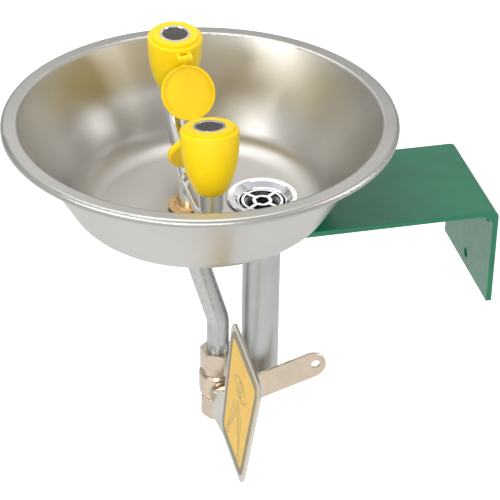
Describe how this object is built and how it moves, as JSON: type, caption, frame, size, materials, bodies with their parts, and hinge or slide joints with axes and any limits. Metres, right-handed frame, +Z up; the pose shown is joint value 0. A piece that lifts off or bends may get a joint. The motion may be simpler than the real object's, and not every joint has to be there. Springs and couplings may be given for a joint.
{
  "type": "eyewash station",
  "caption": "Wall-mounted emergency eyewash: round steel bowl on a bent plate bracket, spray heads with flip caps, strainer drain with tailpiece, and a ball valve worked by a push flag.",
  "frame": {"origin": "midway between the two upper wall holes, on the wall face of the bracket", "axes": "+Z up, +Y into the wall, +X to the right of a user who faces the wall"},
  "size_m": [0.3174, 0.3969, 0.3348],
  "materials": {
    "green_paint": "green powder coat, semi-gloss",
    "bowl_steel": "satin spun stainless steel",
    "chrome": "polished chrome plate",
    "yellow_abs": "moulded yellow plastic, semi-gloss",
    "screen": "fine woven wire screen",
    "white_plastic": "white moulded plastic",
    "black_rubber": "black rubber",
    "brass": "machined brass",
    "zinc_pipe": "bright zinc-plated steel pipe",
    "tail_metal": "satin-plated brass tube",
    "nickel": "warm nickel plate",
    "ptfe": "white PTFE",
    "flag_steel": "satin stainless sheet",
    "label": "printed vinyl label"
  },
  "bodies": {
    "station": {"wall_bracket": "green_paint", "bowl": "bowl_steel", "drain_gasket": "black_rubber", "drain_strainer": "chrome", "drain_washer": "black_rubber", "drain_locknut": "brass", "tailpiece": "tail_metal", "supply_gasket": "black_rubber", "supply_locknut": "brass", "supply_bulkhead": "brass", "supply_washer": "black_rubber", "flow_regulator": "white_plastic", "riser_tube": "chrome", "yoke_tee": "chrome", "yoke_arm_front": "chrome", "yoke_arm_rear": "chrome", "head_shell_front": "yellow_abs", "cap_pin_front": "chrome", "aerator_ring_front": "chrome", "aerator_screen_front": "screen", "diffuser_front": "white_plastic", "aerator_seal_front": "black_rubber", "head_adapter_front": "chrome", "head_shell_rear": "yellow_abs", "cap_pin_rear": "chrome", "aerator_ring_rear": "chrome", "aerator_screen_rear": "screen", "diffuser_rear": "white_plastic", "aerator_seal_rear": "black_rubber", "head_adapter_rear": "chrome", "supply_pipe": "zinc_pipe", "valve_body": "nickel", "valve_end": "nickel", "ball_seat_lower": "ptfe", "ball_seat_upper": "ptfe", "stem_packing": "ptfe", "packing_nut": "nickel"},
    "valve_lever": {"ball": "chrome", "stem": "nickel", "lever": "nickel", "push_flag": "flag_steel", "flag_label": "label", "lever_washer": "flag_steel", "lever_nut": "flag_steel"},
    "cap_front": {"flip_cap_front": "yellow_abs"},
    "cap_rear": {"flip_cap_rear": "yellow_abs"}
  },
  "joints": [
    {"name": "valve_turn", "type": "hinge", "parent": "station", "child": "valve_lever", "pos_m": [0.026, -0.22312, -0.1673], "axis": [-1, 0, 0], "range_deg": [0, 90]},
    {"name": "cap_front_flip", "type": "hinge", "parent": "station", "child": "cap_front", "pos_m": [0.05232, -0.25019, 0.121], "axis": [-0.0893, 0.9958, -0.018], "range_deg": [0, 232]},
    {"name": "cap_rear_flip", "type": "hinge", "parent": "station", "child": "cap_rear", "pos_m": [-0.05166, -0.24029, 0.12258], "axis": [0.0902, -0.9959, -0.0106], "range_deg": [0, 232]}
  ]
}
